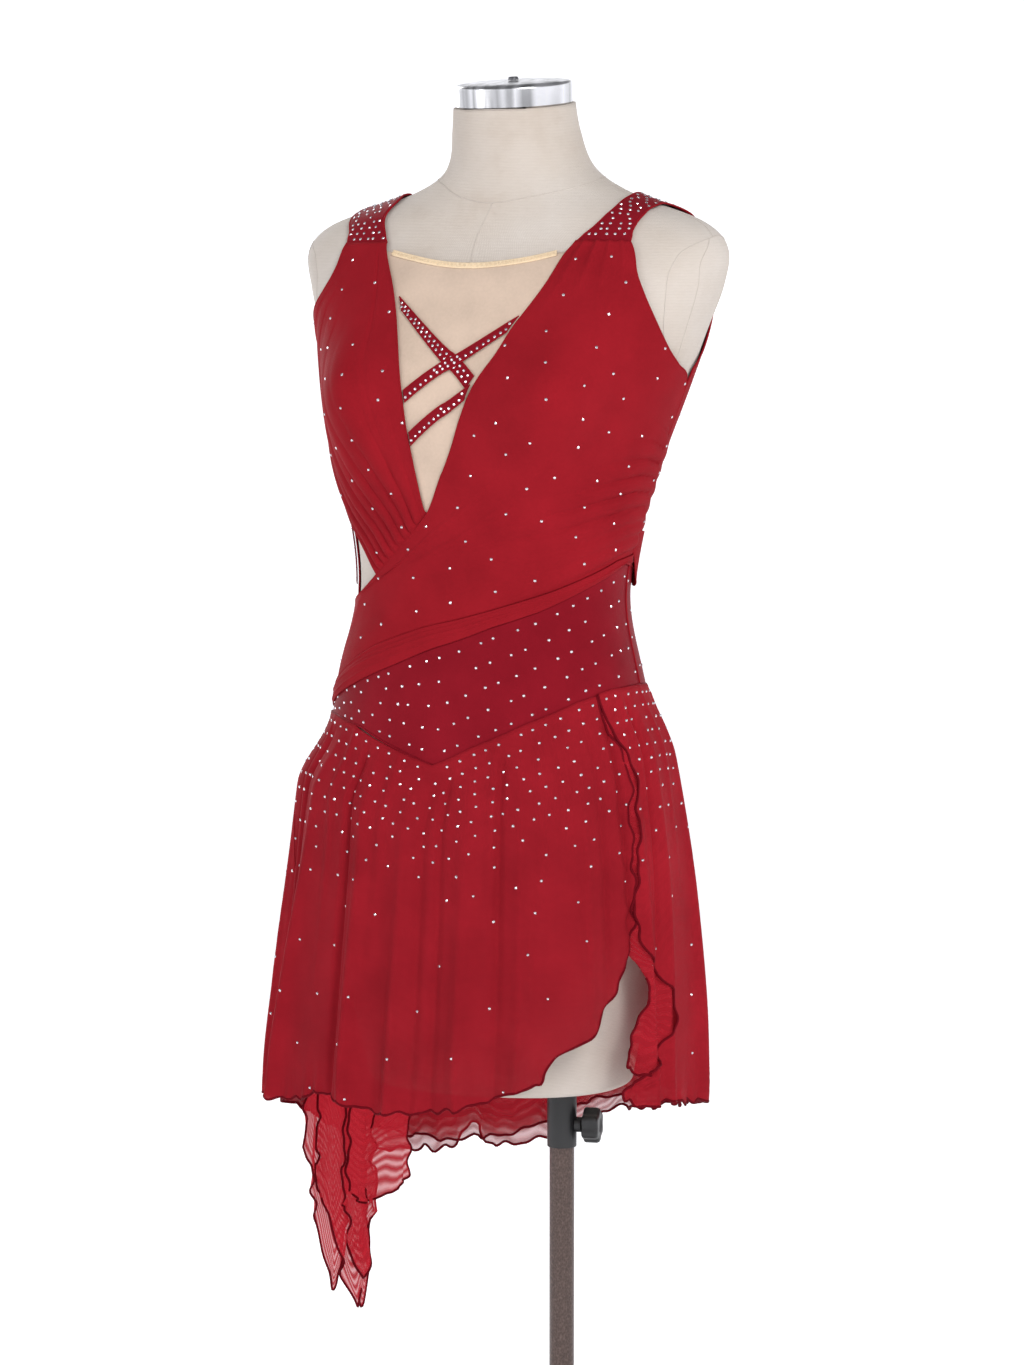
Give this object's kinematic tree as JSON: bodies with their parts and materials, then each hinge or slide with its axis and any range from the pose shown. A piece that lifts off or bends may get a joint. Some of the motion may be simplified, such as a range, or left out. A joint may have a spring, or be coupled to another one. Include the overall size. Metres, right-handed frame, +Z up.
{
  "type": "lyrical dance dress on a dress form stand",
  "caption": "Red lyrical dance dress with a wrapped bodice, stoned yoke and draped slit skirt, worn by a limbless linen dress form on a pole stand.",
  "frame": {"origin": "centre of the base plate's underside, on the pole's axis, on the floor", "axes": "+Z up, -Y the way the wearer faces, +X the wearer's left"},
  "size_m": [0.4594, 0.38, 1.4853],
  "materials": {
    "red_jersey": "matte stretch jersey",
    "dark_satin": "smooth stretch satin",
    "red_mesh": "sheer stretch mesh",
    "nude_mesh": "fine skin-tone mesh",
    "nude_elastic": "zigzag elastic",
    "linen": "woven linen cover over a rigid core",
    "steel": "polished",
    "dark_steel": "satin",
    "brown_paint": "hammered paint",
    "black_plastic": "moulded"
  },
  "bodies": {
    "stand": {"base_plate": "brown_paint", "base_hub": "brown_paint", "pole": "brown_paint"},
    "form": {"form_torso": "linen", "neck_cap": "steel", "cap_screw": "dark_steel", "socket_collar": "black_plastic", "front_right": "red_jersey", "front_left_wrap": "red_jersey", "wrap_fold": "red_jersey", "nude_insert": "nude_mesh", "nude_neck_band": "nude_elastic", "cross_strap_a": "dark_satin", "cross_strap_b": "dark_satin", "cross_strap_c": "dark_satin", "shoulder_strap_left": "red_jersey", "shoulder_strap_right": "red_jersey", "back_bodice": "red_jersey", "side_drape": "red_jersey", "cutout_strap": "dark_satin", "yoke_front": "dark_satin", "yoke_back": "dark_satin", "skirt_front": "red_mesh", "skirt_left": "red_mesh", "skirt_back": "red_mesh", "skirt_right": "red_mesh", "skirt_back_under": "red_mesh", "tail_left_point": "red_mesh", "tail_middle_point": "red_mesh", "tail_right_point": "red_mesh", "tail_back_fold": "red_mesh"},
    "knob": {"clamp_knob": "black_plastic"}
  },
  "joints": [
    {"name": "height_slide", "type": "slide", "parent": "stand", "child": "form", "axis": [0, 0, 1], "range_m": [-0.1, 0.15]},
    {"name": "knob_turn", "type": "hinge", "parent": "form", "child": "knob", "pos_m": [0, 0, 0.611], "axis": [0.9781, 0.2079, 0], "continuous": true}
  ]
}
